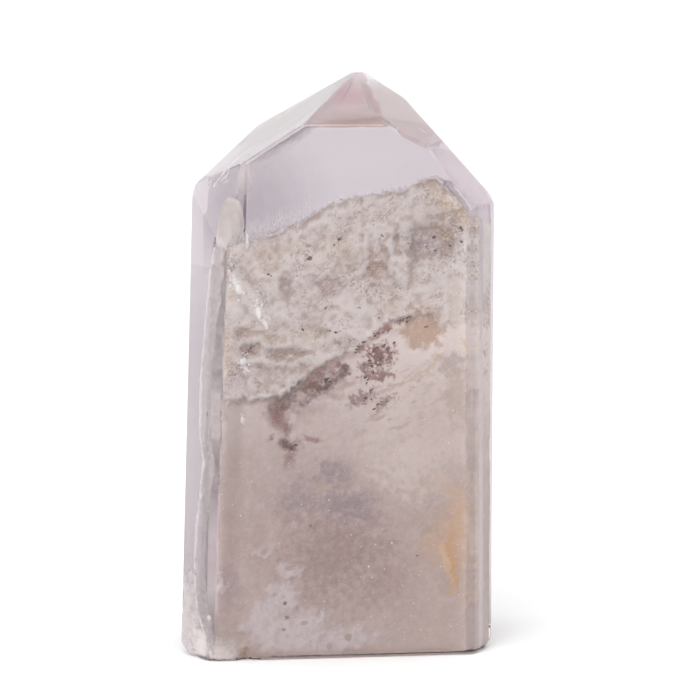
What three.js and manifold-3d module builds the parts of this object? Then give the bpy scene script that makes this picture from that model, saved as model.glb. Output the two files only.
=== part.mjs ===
// Lithium quartz point: a hand-polished tower of clear quartz that grew over an older, clouded crystal.
// Millimetres, +Z up, the broad front face towards -Y. The origin is the middle of the flat base.

import * as THREE from "three";
import { ConvexGeometry } from "three/addons/geometries/ConvexGeometry.js";
import { mergeVertices } from "three/addons/utils/BufferGeometryUtils.js";
import Module from "manifold-3d";

const wasm = await Module();
wasm.setup();

// Driving dimensions of the polished point.
// A facet faces a compass bearing (0 is the front, 90 the right) and leans back to face up by some degrees.
// Its reach is the distance from the origin to its plane.
const prismFaces = {
  front: { bearing: 0, lean: 0, reach: 13 },
  frontRight: { bearing: 60, lean: -0.8, reach: 20.95 },
  backRight: { bearing: 102.6, lean: -1.3, reach: 17 },
  back: { bearing: 180, lean: 0, reach: 13 },
  backLeft: { bearing: -110.1, lean: 2.5, reach: 16.95 },
  frontLeft: { bearing: -60, lean: 2.3, reach: 21.2 },
};
const shoulderFacets = {
  frontLeft: { bearing: -49, lean: 14.2, reach: 32 },
  backLeft: { bearing: -105, lean: 38.3, reach: 49.15 },
  frontRight: { bearing: 57, lean: 33.7, reach: 49.95 },
  right: { bearing: 89.5, lean: 40.7, reach: 53.2 },
};
// The cap facets all run up to one apex.
const apex = new THREE.Vector3(4, -0.5, 74.15);
const capFacets = {
  front: { bearing: 2.5, lean: 63 },
  right: { bearing: 51, lean: 56.5 },
  backRight: { bearing: 108.9, lean: 51.2 },
  back: { bearing: 180, lean: 60 },
  backLeft: { bearing: -129.8, lean: 61.1 },
  left: { bearing: -79, lean: 58 },
};
// Polishing has blunted the tip, both hips and the two outer corners of the base.
const bluntedCorners = {
  tip: { bearing: 0, lean: 90, reach: 73.7 },
  leftHip: { bearing: -80, lean: 24, reach: 41 },
  rightHip: { bearing: 80, lean: 22, reach: 41.3 },
  leftFoot: { bearing: -90, lean: -45, reach: 13.55 },
  rightFoot: { bearing: 90, lean: -45, reach: 12.85 },
};
const edgeRadius = 0.7;
const edgeSteps = 2;

// Driving dimensions of the clouded crystal inside. Its sides lie 1 to 2 mm behind the polished
// faces, but for the two at the back corners, which leave wide clear margins there.
const phantomFaces = {
  front: { bearing: 0, lean: 0, reach: 11.9 },
  frontRight: { bearing: 60, lean: -0.8, reach: 19.5 },
  backRight: { bearing: 118, lean: -1.2, reach: 12.7 },
  back: { bearing: 180, lean: 0, reach: 11.3 },
  backLeft: { bearing: -118, lean: 3.3, reach: 11.5 },
  frontLeft: { bearing: -60, lean: 2.6, reach: 20.1 },
  rightShoulder: { bearing: 84, lean: 40, reach: 50.2 },
};
const crestHeight = 61;
const blankHeight = 66;
// Its broken top climbs from left to right: [across, height] along the front, falling away to the back.
const crestLine = [
  [-20, 52.3],
  [-14.7, 52.9],
  [-10.8, 53.9],
  [-4.5, 56.2],
  [-0.7, 58.3],
  [1.2, 58.9],
  [8.1, 59.7],
  [11.3, 60.7],
  [14.2, crestHeight],
  [22, crestHeight],
];
const crestFall = 0.13;
const crestRoughness = 0.5;
const sideRoughness = 0.75;
// The sides are calm below the first of these heights and craggy above the second.
const calmHeight = 12;
const craggyHeight = 34;
const sideSteps = { around: 60, up: 28 };
const crestSteps = { across: 25, back: 17 };
const gap = 0.3;

// Hollows in the front of the clouded crystal: where, how wide and high, how deep.
const hollows = [
  { across: 13.5, height: 52.5, wide: 4.5, high: 2.2, deep: 0.9 },
  { across: 6, height: 49, wide: 2.6, high: 3, deep: 0.7 },
  { across: -7, height: 39.5, wide: 6, high: 1.6, deep: 0.8 },
  { across: -1.5, height: 33.5, wide: 5.5, high: 2, deep: 0.8 },
  { across: -7.5, height: 29, wide: 2, high: 5, deep: 0.7 },
  { across: -11.5, height: 48, wide: 1.8, high: 2.5, deep: 0.6 },
];

// Pits and chips in the foot of the point: where, and the half size of each.
const chips = [
  { at: [-12, -13.2, 0], size: [1.8, 1.3, 0.6] },
  { at: [-12.7, -13.2, 0.9], size: [0.95, 0.9, 0.6] },
  { at: [-16.6, -13, 0], size: [1.2, 0.9, 0.5] },
  { at: [-20.6, -6.5, 5.4], size: [0.5, 0.9, 1.3] },
  { at: [-19, -9.8, 0.2], size: [1.1, 0.9, 0.9] },
];

const radians = THREE.MathUtils.degToRad;

// Facets as planes.
function facing({ bearing, lean }) {
  const level = Math.cos(radians(lean));
  const turn = radians(bearing);
  return new THREE.Vector3(level * Math.sin(turn), -level * Math.cos(turn), Math.sin(radians(lean)));
}

function plane(facet) {
  return { normal: facing(facet), reach: facet.reach };
}

function planeThrough(facet, point) {
  const normal = facing(facet);
  return { normal, reach: normal.dot(point) };
}

function basePlane(drop) {
  return { normal: new THREE.Vector3(0, 0, -1), reach: drop };
}

// The corners of the solid inside all the planes, each with the normals of the planes that meet there.
function cornersInside(planes) {
  const corners = [];
  const cross = new THREE.Vector3();
  planes.forEach((a, i) => {
    planes.slice(i + 1).forEach((b, j) => {
      planes.slice(i + j + 2).forEach((c) => {
        cross.crossVectors(b.normal, c.normal);
        const size = a.normal.dot(cross);
        if (Math.abs(size) < 1e-5) return;
        const point = cross.clone().multiplyScalar(a.reach);
        point.addScaledVector(cross.crossVectors(c.normal, a.normal), b.reach);
        point.addScaledVector(cross.crossVectors(a.normal, b.normal), c.reach);
        point.divideScalar(size);
        if (planes.some((p) => p.normal.dot(point) > p.reach + 1e-6)) return;
        corners.push({ point, normals: [a.normal, b.normal, c.normal] });
      });
    });
  });
  return corners;
}

// Directions that fan out from one normal to the next, for a rounded edge.
function fan(from, to, steps) {
  const turn = from.angleTo(to);
  return Array.from({ length: steps + 1 }, (_, i) => {
    const part = i / steps;
    return new THREE.Vector3()
      .addScaledVector(from, Math.sin((1 - part) * turn))
      .addScaledVector(to, Math.sin(part * turn))
      .normalize();
  });
}

// A convex solid inside the planes, with every edge rounded.
function roundedSolid(planes, radius, steps) {
  const inner = planes.map(({ normal, reach }) => ({ normal, reach: reach - radius }));
  const points = [];
  cornersInside(inner).forEach(({ point, normals }) => {
    normals.forEach((normal, i) => {
      fan(normal, normals[(i + 1) % normals.length], steps).forEach((direction) => {
        points.push(point.clone().addScaledVector(direction, radius));
      });
    });
  });
  return new ConvexGeometry(points);
}

// Solids for cutting and joining.
function toSolid(geometry) {
  const bare = new THREE.BufferGeometry();
  bare.setAttribute("position", geometry.getAttribute("position"));
  bare.setIndex(geometry.index);
  const merged = mergeVertices(bare, 1e-4);
  const vertProperties = new Float32Array(merged.attributes.position.array);
  const triVerts = new Uint32Array(merged.index.array);
  return new wasm.Manifold(new wasm.Mesh({ numProp: 3, vertProperties, triVerts }));
}

function toGeometry(solid) {
  const mesh = solid.getMesh();
  const geometry = new THREE.BufferGeometry();
  geometry.setAttribute("position", new THREE.BufferAttribute(mesh.vertProperties, 3));
  geometry.setIndex(new THREE.BufferAttribute(mesh.triVerts, 1));
  return geometry;
}

// Smooth random heights from 0 to 1, the same on every run.
function scatter(i, j) {
  const wave = Math.sin(i * 127.1 + j * 311.7) * 43758.5453;
  return wave - Math.floor(wave);
}

function lumps(u, v) {
  const i = Math.floor(u);
  const j = Math.floor(v);
  const s = THREE.MathUtils.smoothstep(u - i, 0, 1);
  const t = THREE.MathUtils.smoothstep(v - j, 0, 1);
  const low = THREE.MathUtils.lerp(scatter(i, j), scatter(i + 1, j), s);
  const high = THREE.MathUtils.lerp(scatter(i, j + 1), scatter(i + 1, j + 1), s);
  return THREE.MathUtils.lerp(low, high, t);
}

function crag(u, v) {
  return 0.6 * lumps(u, v) + 0.4 * lumps(2.3 * u + 17, 2.3 * v + 5);
}

// The polished outside.
function polishedPoint() {
  const planes = [
    ...Object.values(prismFaces).map(plane),
    ...Object.values(shoulderFacets).map(plane),
    ...Object.values(capFacets).map((facet) => planeThrough(facet, apex)),
    ...Object.values(bluntedCorners).map(plane),
    basePlane(0),
  ];
  return toSolid(roundedSolid(planes, edgeRadius, edgeSteps));
}

// The sides of the clouded crystal, let out by some millimetres.
function phantomPlanes(letOut) {
  return Object.values(phantomFaces).map((face) => ({ normal: facing(face), reach: face.reach + letOut }));
}

// The height of the broken top at a point of the plan.
function crest(x, y) {
  const next = crestLine.findIndex(([across]) => across > x);
  const [acrossA, heightA] = crestLine[Math.max(next - 1, 0)];
  const [acrossB, heightB] = crestLine[Math.max(next, 1)];
  const along = THREE.MathUtils.clamp((x - acrossA) / (acrossB - acrossA), 0, 1);
  const fall = crestFall * (y + prismFaces.front.reach);
  return THREE.MathUtils.lerp(heightA, heightB, along) - fall - crestRoughness * crag(0.35 * x, 0.35 * y);
}

// All that lies above the broken top, lifted by some millimetres.
function aboveCrest(lift) {
  const wide = 50;
  const deep = 34;
  const ceiling = 80;
  const geometry = new THREE.BoxGeometry(wide, deep, 1, crestSteps.across, crestSteps.back, 1);
  const position = geometry.getAttribute("position");
  for (let i = 0; i < position.count; i += 1) {
    const level = position.getZ(i) > 0 ? ceiling : crest(position.getX(i), position.getY(i)) + lift;
    position.setZ(i, level);
  }
  return toSolid(geometry);
}

// How deep the front is hollowed at a place on it.
function hollow(across, height) {
  return hollows.reduce((most, dent) => {
    const reach = Math.hypot((across - dent.across) / dent.wide, (height - dent.height) / dent.high);
    return Math.max(most, dent.deep * THREE.MathUtils.smoothstep(1.4 - reach, 0, 1));
  }, 0);
}

// The clouded crystal: a six-sided column, craggy above and smoother below.
function phantom() {
  const geometry = new THREE.CylinderGeometry(1, 1, 1, sideSteps.around, sideSteps.up).rotateX(Math.PI / 2);
  const position = geometry.getAttribute("position");
  const planes = phantomPlanes(0);
  for (let i = 0; i < position.count; i += 1) {
    const x = position.getX(i);
    const y = position.getY(i);
    const height = (position.getZ(i) + 0.5) * blankHeight;
    const ray = new THREE.Vector3(x, y, 0);
    const reach = planes.reduce((least, { normal, reach: limit }) => {
      const slope = normal.dot(ray);
      return slope > 1e-6 ? Math.min(least, (limit - normal.z * height) / slope) : least;
    }, Infinity);
    const onRim = ray.length() > 0.5;
    const craggy = THREE.MathUtils.smoothstep(height, calmHeight, craggyHeight);
    const turn = Math.atan2(x, -y);
    const rough = sideRoughness * (0.25 + 0.75 * craggy) * crag(6 * turn + 40, 0.3 * height);
    const dent = y < -0.3 ? hollow(reach * x, height) : 0;
    const out = onRim ? Math.max(reach - rough - dent, 1) : 0;
    position.setXYZ(i, out * x, out * y, height);
  }
  return toSolid(geometry).subtract(aboveCrest(0));
}

// The pocket that the clouded crystal fills, open at the base.
function phantomPocket() {
  const ceiling = { normal: new THREE.Vector3(0, 0, 1), reach: blankHeight };
  const planes = [...phantomPlanes(gap), basePlane(1), ceiling];
  const points = cornersInside(planes).map(({ point }) => point);
  return toSolid(new ConvexGeometry(points)).subtract(aboveCrest(gap));
}

function chip({ at, size }) {
  return toSolid(new THREE.IcosahedronGeometry(1, 1).scale(...size).translate(...at));
}

// The two pieces.
function clearQuartz() {
  const worn = chips.reduce((solid, one) => solid.subtract(chip(one)), polishedPoint());
  const material = new THREE.MeshStandardMaterial({
    color: 0xdcd0d6,
    roughness: 0.05,
    metalness: 0,
    transparent: true,
    opacity: 0.35,
  });
  const mesh = new THREE.Mesh(toGeometry(worn.subtract(phantomPocket())), material);
  mesh.name = "clear_quartz";
  return mesh;
}

function phantomInclusion() {
  const material = new THREE.MeshStandardMaterial({ color: 0xb4a09c, roughness: 0.75, metalness: 0 });
  const mesh = new THREE.Mesh(toGeometry(phantom()), material);
  mesh.name = "phantom_inclusion";
  return mesh;
}

// The whole point, moved so that its box stands centred over the origin.
function quartzPoint() {
  const quartz = clearQuartz();
  const group = new THREE.Group();
  group.add(quartz, phantomInclusion());
  quartz.geometry.computeBoundingBox();
  const middle = quartz.geometry.boundingBox.getCenter(new THREE.Vector3());
  group.children.forEach((mesh) => mesh.position.set(-middle.x, -middle.y, 0));
  return group;
}

export default quartzPoint();
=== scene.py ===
import math
import random

import bpy
from mathutils import Euler, Matrix, Vector, noise


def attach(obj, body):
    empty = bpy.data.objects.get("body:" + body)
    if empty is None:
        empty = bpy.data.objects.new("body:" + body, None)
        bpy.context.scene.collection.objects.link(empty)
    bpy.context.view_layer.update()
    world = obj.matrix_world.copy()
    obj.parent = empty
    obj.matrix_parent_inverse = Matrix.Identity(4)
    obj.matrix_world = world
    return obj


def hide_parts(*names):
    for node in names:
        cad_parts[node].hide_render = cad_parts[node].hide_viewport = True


# Lithium quartz point: a polished tower of clear quartz over an older, clouded crystal.
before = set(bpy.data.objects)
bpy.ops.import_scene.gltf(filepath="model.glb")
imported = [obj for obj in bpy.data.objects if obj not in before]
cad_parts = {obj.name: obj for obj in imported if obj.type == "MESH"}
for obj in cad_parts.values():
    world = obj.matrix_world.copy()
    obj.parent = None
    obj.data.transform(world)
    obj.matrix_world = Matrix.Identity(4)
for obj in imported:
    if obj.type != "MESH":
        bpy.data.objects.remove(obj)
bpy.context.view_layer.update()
mm = 0.001
print("frame loaded")

# A face is [bearing, lean, reach]: bearing 0 looks to the front and 90 to the right, lean tips it
# up in degrees, and reach is how far its plane lies from the middle of the base, in mm.
polishedSpec = {
    "prism": {
        "front": [0, 0, 13],
        "frontRight": [60, -0.8, 20.95],
        "backRight": [102.6, -1.3, 17],
        "back": [180, 0, 13],
        "backLeft": [-110.1, 2.5, 16.95],
        "frontLeft": [-60, 2.3, 21.2],
    },
    "shoulders": [[-49, 14.2, 32], [-105, 38.3, 49.15], [57, 33.7, 49.95], [89.5, 40.7, 53.2]],
    "apex": [4, -0.5, 74.15],
    "cap": [[2.5, 63], [51, 56.5], [108.9, 51.2], [180, 60], [-129.8, 61.1], [-79, 58]],
    "blunted": [[0, 90, 73.7], [-80, 24, 41], [80, 22, 41.3], [-90, -45, 13.55], [90, -45, 12.85]],
    "edgeWidth": 0.5,
    "edgeSteps": 6,
    "chipVoxel": 0.18,
    "chips": [
        {"at": [-12, -13.2, 0], "size": [1.8, 1.3, 0.6]},
        {"at": [-12.7, -13.2, 0.9], "size": [0.95, 0.9, 0.6]},
        {"at": [-16.6, -13, 0], "size": [1.2, 0.9, 0.5]},
        {"at": [-20.6, -6.5, 5.4], "size": [0.5, 0.9, 1.3]},
        {"at": [-19, -9.8, 0.2], "size": [1.1, 0.9, 0.9]},
    ],
}

cloudedSpec = {
    "front": [0, 0, 11.9],
    "frontRight": [60, -0.8, 19.5],
    "backRight": [118, -1.2, 12.7],
    "back": [180, 0, 11.3],
    "backLeft": [-118, 3.3, 11.5],
    "frontLeft": [-60, 2.6, 20.1],
    "shoulder": [84, 40, 50.2],
    # the broken top edge of the front, from left to right
    "crestLine": [
        [-22, 52.1], [-14.7, 52.9], [-10.8, 53.9], [-4.5, 56.2], [-0.7, 58.3],
        [1.2, 58.9], [8.1, 59.9], [11.3, 61.1], [14.2, 61.8], [22, 61.8],
    ],
    # how steeply the top falls to the back, and the depth at which the crest line is drawn
    "crestFall": 0.13,
    "crestFront": -13,
    "footGap": 0.15,
    "blockTop": 66,
    "voxel": 0.3,
    "smoothRounds": 5,
    # the crust hangs over the smooth lower body along this line
    "ledgeLine": [
        [-22, 36.5], [-17, 35.8], [-14, 33.8], [-9.6, 33], [-7.3, 33.6], [-6, 35.2],
        [-3, 37], [0.5, 38.3], [4, 41], [9, 43], [22, 42],
    ],
    "ledgeStep": 1.4,
    "upperLedgeLine": [[-22, 39], [-16, 38.6], [-11.5, 38], [-8, 37.6], [-3, 37.9], [1, 39.2], [22, 44]],
    # hollows in the front: middle, half size and depth
    "hollows": [
        [11.8, 52.7, 4.4, 2.2, 0.9], [5.3, 49.8, 2, 2.9, 0.6], [-10.9, 39.5, 1.5, 1, 0.9],
        [-6.2, 38.8, 3.2, 0.9, 0.8], [-12.3, 41.7, 2.6, 0.8, 0.5], [-0.9, 47.2, 2.2, 1.4, 0.45],
        [-6.3, 47.6, 0.9, 2, 0.5], [-2, 34.6, 4, 1.6, 0.6], [-7.4, 31.4, 1.6, 2.4, 0.5],
        [10.8, 41.6, 2.8, 2.6, 0.5],
    ],
    # ridges on the front: from, to, width and height
    "ridges": [
        [9, 54.8, 8.3, 47.8, 1, 0.7], [7.2, 54.4, 6.9, 48.9, 0.5, 0.5],
        [4, 54.1, 3.9, 49.8, 0.4, 0.35], [3.7, 49.2, 1, 48.2, 0.4, 0.35],
        [-12.6, 49, -8.6, 42.4, 1.2, 0.5],
    ],
    # chalky patches at the foot: middle and half size
    "chalk": [
        [-7.6, 7.9, 2.3, 2], [-9.4, 5.8, 2, 1.7], [-11.3, 4.2, 2, 1.5], [-8.2, 3, 3.8, 2.3],
        [-4.6, 3.8, 3, 2.3], [-5.1, 1.2, 4.4, 1.6], [0.9, 2.4, 2.8, 1.4], [-1.5, 1.3, 2.4, 1.3],
        [3.9, 2.8, 1.1, 0.4], [-9.8, 13.6, 1.3, 1.1], [-6.5, 11.4, 1.5, 1.1],
        [-16.1, 10.9, 0.7, 0.5], [-15.2, 9.8, 0.4, 0.8],
    ],
    # how far the chalk stands out, and how deep the front, the crags and the top are worn at most
    "chalkHigh": 0.25,
    "deepest": 3,
    "cragsDeep": 0.7,
    "topDeep": 0.5,
    # how far round a spot is looked, to tell a hollow from a rise, for the painted shade in hollows and the
    # painted highlight on rises
    "nearRounds": 5,
}


# Faces and blocks

def faceNormal(bearing, lean):
    level = math.cos(math.radians(lean))
    turn = math.radians(bearing)
    return Vector((level * math.sin(turn), -level * math.cos(turn), math.sin(math.radians(lean))))


def planeOf(face):
    bearing, lean, reach = face
    return faceNormal(bearing, lean), reach * mm


def planeThrough(face, point):
    normal = faceNormal(*face)
    return normal, normal.dot(Vector(point)) * mm


def behindFace(face, x, y, z):
    bearing, lean, reach = face
    return reach - faceNormal(bearing, lean).dot(Vector((x, y, z)))


def deselectAll():
    bpy.ops.object.select_all(action="DESELECT")


def pick(piece):
    deselectAll()
    piece.select_set(True)
    bpy.context.view_layer.objects.active = piece


def cutBlock(name, planes, floorHeight):
    size = 120 * mm
    deselectAll()
    bpy.ops.mesh.primitive_cube_add(size=size, location=(0, 0, size / 2 + floorHeight))
    block = bpy.context.object
    block.name = name
    bpy.ops.object.transform_apply(location=True, rotation=True, scale=True)
    bpy.ops.object.mode_set(mode="EDIT")
    for normal, reach in planes:
        bpy.ops.mesh.select_all(action="SELECT")
        bpy.ops.mesh.bisect(
            plane_co=normal * reach, plane_no=normal, use_fill=True, clear_outer=True, threshold=1e-7
        )
    bpy.ops.object.mode_set(mode="OBJECT")
    return block


def applyModifier(piece, kind, **settings):
    pick(piece)
    bpy.ops.object.modifier_add(type=kind)
    made = piece.modifiers[-1]
    for key, value in settings.items():
        setattr(made, key, value)
    bpy.ops.object.modifier_apply(modifier=made.name)


def finishPiece(piece, material):
    piece.data.materials.clear()
    piece.data.materials.append(material)
    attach(piece, "root")


def displaceByClouds(piece, name, scale, strength, **settings):
    clouds = bpy.data.textures.new(name, "CLOUDS")
    clouds.noise_scale = scale * mm
    settings.update(texture=clouds, texture_coords="LOCAL", strength=strength * mm)
    applyModifier(piece, "DISPLACE", **settings)


# Cuts away what comes nearer than some mm to any of the planes.
def trimInside(piece, planes, inset):
    pick(piece)
    bpy.ops.object.mode_set(mode="EDIT")
    for normal, reach in planes:
        bpy.ops.mesh.select_all(action="SELECT")
        bpy.ops.mesh.bisect(plane_co=normal * (reach - inset * mm), plane_no=normal, clear_outer=True)
    bpy.ops.object.mode_set(mode="OBJECT")
    bpy.ops.object.shade_smooth()


# A chain of edges drawn out step by step from a point, left in edit mode with all of it selected.
def drawChain(name, start, steps):
    deselectAll()
    bpy.ops.mesh.primitive_plane_add(size=1 * mm, location=start)
    chain = bpy.context.object
    chain.name = name
    bpy.ops.object.transform_apply(location=True, rotation=True, scale=True)
    bpy.ops.object.mode_set(mode="EDIT")
    bpy.ops.mesh.select_mode(type="VERT")
    bpy.ops.mesh.select_all(action="SELECT")
    bpy.ops.mesh.merge(type="CENTER")
    for step in steps:
        bpy.ops.mesh.extrude_vertices_move(TRANSFORM_OT_translate={"value": step})
    bpy.ops.mesh.select_all(action="SELECT")
    return chain


def newPebble(subdivisions):
    deselectAll()
    bpy.ops.mesh.primitive_ico_sphere_add(subdivisions=subdivisions, radius=1 * mm)
    return bpy.context.object


# Copies of one small shape, each with its own mesh, joined as one piece. A place is (point in mm,
# scale, turn in degrees).
def joinCopies(pattern, places, name):
    copies = []
    for point, scale, turn in places:
        twin = pattern.copy()
        twin.data = pattern.data.copy()
        bpy.context.collection.objects.link(twin)
        angles = Euler([math.radians(angle) for angle in turn]).to_matrix().to_4x4()
        twin.matrix_world = Matrix.Translation(Vector(point) * mm) @ angles @ Matrix.Diagonal((*scale, 1))
        copies.append(twin)
    bpy.data.objects.remove(pattern)
    deselectAll()
    for twin in copies:
        twin.select_set(True)
    bpy.context.view_layer.objects.active = copies[0]
    bpy.ops.object.join()
    joined = bpy.context.object
    joined.name = name
    bpy.ops.object.transform_apply(location=True, rotation=True, scale=True)
    return joined


def lerpLine(line, across):
    for (leftX, leftZ), (rightX, rightZ) in zip(line, line[1:]):
        if across <= rightX:
            part = min(max((across - leftX) / (rightX - leftX), 0), 1)
            return leftZ + (rightZ - leftZ) * part
    return line[-1][1]


def smooth(low, high, value):
    part = min(max((value - low) / (high - low), 0), 1)
    return part * part * (3 - 2 * part)


# How far (x, z) is from the middle of an ellipse, as a share of its half size.
def ellipseReach(ellipse, x, z):
    middleX, middleZ, wide, high = ellipse
    return math.hypot((x - middleX) / wide, (z - middleZ) / high)


# Shader helpers

def addNode(tree, kind, sockets=None, **settings):
    made = tree.nodes.new(kind)
    for key, value in settings.items():
        setattr(made, key, value)
    for key, value in (sockets or {}).items():
        if isinstance(value, bpy.types.NodeSocket):
            tree.links.new(value, made.inputs[key])
        else:
            made.inputs[key].default_value = value
    return made


def newMaterial(name):
    material = bpy.data.materials.new(name)
    material.use_nodes = True
    material.node_tree.nodes.clear()
    return material, material.node_tree


# A node group with one output. An input is a vector or a plain number, as its first value is.
def newGroup(name, inputs, output, outputKind="NodeSocketFloat"):
    group = bpy.data.node_groups.new(name, "ShaderNodeTree")
    for label, value in inputs.items():
        kind = "NodeSocketVector" if isinstance(value, tuple) else "NodeSocketFloat"
        group.interface.new_socket(label, in_out="INPUT", socket_type=kind).default_value = value
    group.interface.new_socket(output, in_out="OUTPUT", socket_type=outputKind)
    given = group.nodes.new("NodeGroupInput").outputs
    return group, given, group.nodes.new("NodeGroupOutput").inputs[output]


def shade(red, green, blue):
    linear = [((v / 255 + 0.055) / 1.055) ** 2.4 for v in (red, green, blue)]
    return (*linear, 1)


# A colour seen through polished quartz looks darker than it is, by what the surface keeps in, but
# for what the surface itself reflects.
quartzGain = (0.64, 0.585, 0.565)
quartzGleam = 0.045


def underQuartz(red, green, blue, lift=1):
    clear = [max(v - quartzGleam, 0.01) for v in shade(red, green, blue)]
    seen = [lift * gain * v for gain, v in zip(quartzGain, clear)]
    return (*[min(v / (0.36 + 0.6 * v), 0.95) for v in seen], 1)


# The crust holds back more light in its own hollows.
def inCrust(red, green, blue):
    return underQuartz(red, green, blue, 1.5)


def inMillimetres(tree):
    place = addNode(tree, "ShaderNodeTexCoord")
    sized = {"Vector": place.outputs["Object"], "Scale": (1000, 1000, 1000)}
    return addNode(tree, "ShaderNodeMapping", sized).outputs[0]


def mathNode(tree, operation, first, second):
    return addNode(tree, "ShaderNodeMath", {0: first, 1: second}, operation=operation).outputs[0]


def vectorNode(tree, operation, first, second):
    return addNode(tree, "ShaderNodeVectorMath", {0: first, 1: second}, operation=operation).outputs[0]


def mixNode(tree, mask, first, second):
    mixed = addNode(tree, "ShaderNodeMix", {0: mask, 6: first, 7: second}, data_type="RGBA")
    return mixed.outputs[2]


def noiseNode(tree, point, scale, detail, roughness=0.5):
    sockets = {"Vector": point, "Scale": scale, "Detail": detail, "Roughness": roughness}
    return addNode(tree, "ShaderNodeTexNoise", sockets).outputs


def turnNode(tree, point, angle):
    sockets = {"Vector": point, "Angle": angle}
    return addNode(tree, "ShaderNodeVectorRotate", sockets, rotation_type="Y_AXIS").outputs[0]


# A value moved from the range low to high to another one, in a straight line or an S curve.
def rangeNode(tree, value, low, high, lowResult=0, highResult=1, curve="SMOOTHSTEP"):
    sockets = {
        "Value": value, "From Min": low, "From Max": high, "To Min": lowResult, "To Max": highResult,
    }
    return addNode(tree, "ShaderNodeMapRange", sockets, interpolation_type=curve).outputs[0]


def bumpNode(tree, height, strength, distance):
    sockets = {"Height": height, "Strength": strength, "Distance": distance * mm}
    return addNode(tree, "ShaderNodeBump", sockets).outputs[0]


def finishMaterial(tree, sockets, volume=None):
    body = addNode(tree, "ShaderNodeBsdfPrincipled", sockets)
    outputs = {"Surface": body.outputs[0]}
    if volume:
        outputs["Volume"] = volume
    addNode(tree, "ShaderNodeOutputMaterial", outputs)


# Shared effects

# A patch that fades out softly, from its middle and half size.
def makeSoftPatch():
    place = {"Point": (0, 0, 0), "Centre": (0, 0, 0), "Half Size": (1, 1, 1), "Turn": 0}
    edge = {"Softness": 0.5, "Grain": 0, "Strength": 1}
    group, given, result = newGroup("softPatch", {**place, **edge}, "Mask")
    moved = vectorNode(group, "SUBTRACT", given["Point"], given["Centre"])
    scaled = vectorNode(group, "DIVIDE", turnNode(group, moved, given["Turn"]), given["Half Size"])
    reach = addNode(group, "ShaderNodeVectorMath", {0: scaled}, operation="LENGTH")
    grained = mathNode(group, "ADD", reach.outputs["Value"], given["Grain"])
    start = mathNode(group, "SUBTRACT", 1, given["Softness"])
    faded = rangeNode(group, grained, start, 1.15, 1, 0)
    group.links.new(mathNode(group, "MULTIPLY", faded, given["Strength"]), result)
    return group


def makeMottle():
    sockets = {"Point": (0, 0, 0), "Scale": 1, "Detail": 4, "Low": 0.4, "High": 0.6, "Strength": 1}
    group, given, result = newGroup("mottle", sockets, "Mask")
    grain = noiseNode(group, given["Point"], given["Scale"], given["Detail"], 0.62)["Fac"]
    ranged = rangeNode(group, grain, given["Low"], given["High"])
    group.links.new(mathNode(group, "MULTIPLY", ranged, given["Strength"]), result)
    return group


# Pushes a point about, so that whatever is drawn there gets a wandering edge.
def makeWander():
    sockets = {"Point": (0, 0, 0), "Scale": 1, "Reach": 1}
    group, given, result = newGroup("wander", sockets, "Point", "NodeSocketVector")
    grain = noiseNode(group, given["Point"], given["Scale"], 3, 0.55)["Color"]
    middle = vectorNode(group, "SUBTRACT", grain, (0.5, 0.5, 0.5))
    scaling = {0: middle, "Scale": given["Reach"]}
    pushed = addNode(group, "ShaderNodeVectorMath", scaling, operation="SCALE").outputs[0]
    group.links.new(vectorNode(group, "ADD", given["Point"], pushed), result)
    return group


softPatch = makeSoftPatch()
mottle = makeMottle()
wander = makeWander()


def groupNode(tree, group, sockets):
    return addNode(tree, "ShaderNodeGroup", sockets, node_tree=group).outputs[0]


def patchMask(tree, point, grain, spot):
    return groupNode(tree, softPatch, {
        "Point": point,
        "Centre": spot["at"],
        "Half Size": spot["size"],
        "Turn": math.radians(spot["turn"]),
        "Softness": spot["soft"],
        "Grain": grain,
        "Strength": spot["strength"],
    })


def mottleMask(tree, point, scale, low, high, strength=1):
    return groupNode(tree, mottle, {
        "Point": point, "Scale": scale, "Detail": 5, "Low": low, "High": high, "Strength": strength,
    })


def wanderingPoint(tree, point, scale, reach):
    return groupNode(tree, wander, {"Point": point, "Scale": scale, "Reach": reach})


def grainSignal(tree, point, scale, detail, amount):
    middle = mathNode(tree, "SUBTRACT", noiseNode(tree, point, scale, detail, 0.6)["Fac"], 0.5)
    return mathNode(tree, "MULTIPLY", middle, amount)


def colourRamp(tree, value, stops):
    ramp = addNode(tree, "ShaderNodeValToRGB", {"Fac": value})
    elements = ramp.color_ramp.elements
    elements[0].position, elements[0].color = stops[0]
    elements[1].position, elements[1].color = stops[-1]
    for position, colour in stops[1:-1]:
        elements.new(position).color = colour
    return ramp.outputs["Color"]


def maskNamed(tree, name):
    return addNode(tree, "ShaderNodeAttribute", attribute_name=name).outputs["Fac"]


# Clear quartz

clearFinish = {
    "tint": (1, 1, 1, 1),
    "polish": 0.012,
    "frosted": 0.28,
    "ior": 1.544,
    "absorbColour": (0.738, 0.689, 0.724, 1),
    "absorbDensity": 84,
    # where the foot has lost its polish: middle and half size
    "worn": {"at": (-18.4, -10.5, 1.2), "size": (4.6, 5, 4.2), "turn": 0, "soft": 0.5, "strength": 1},
}


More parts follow.
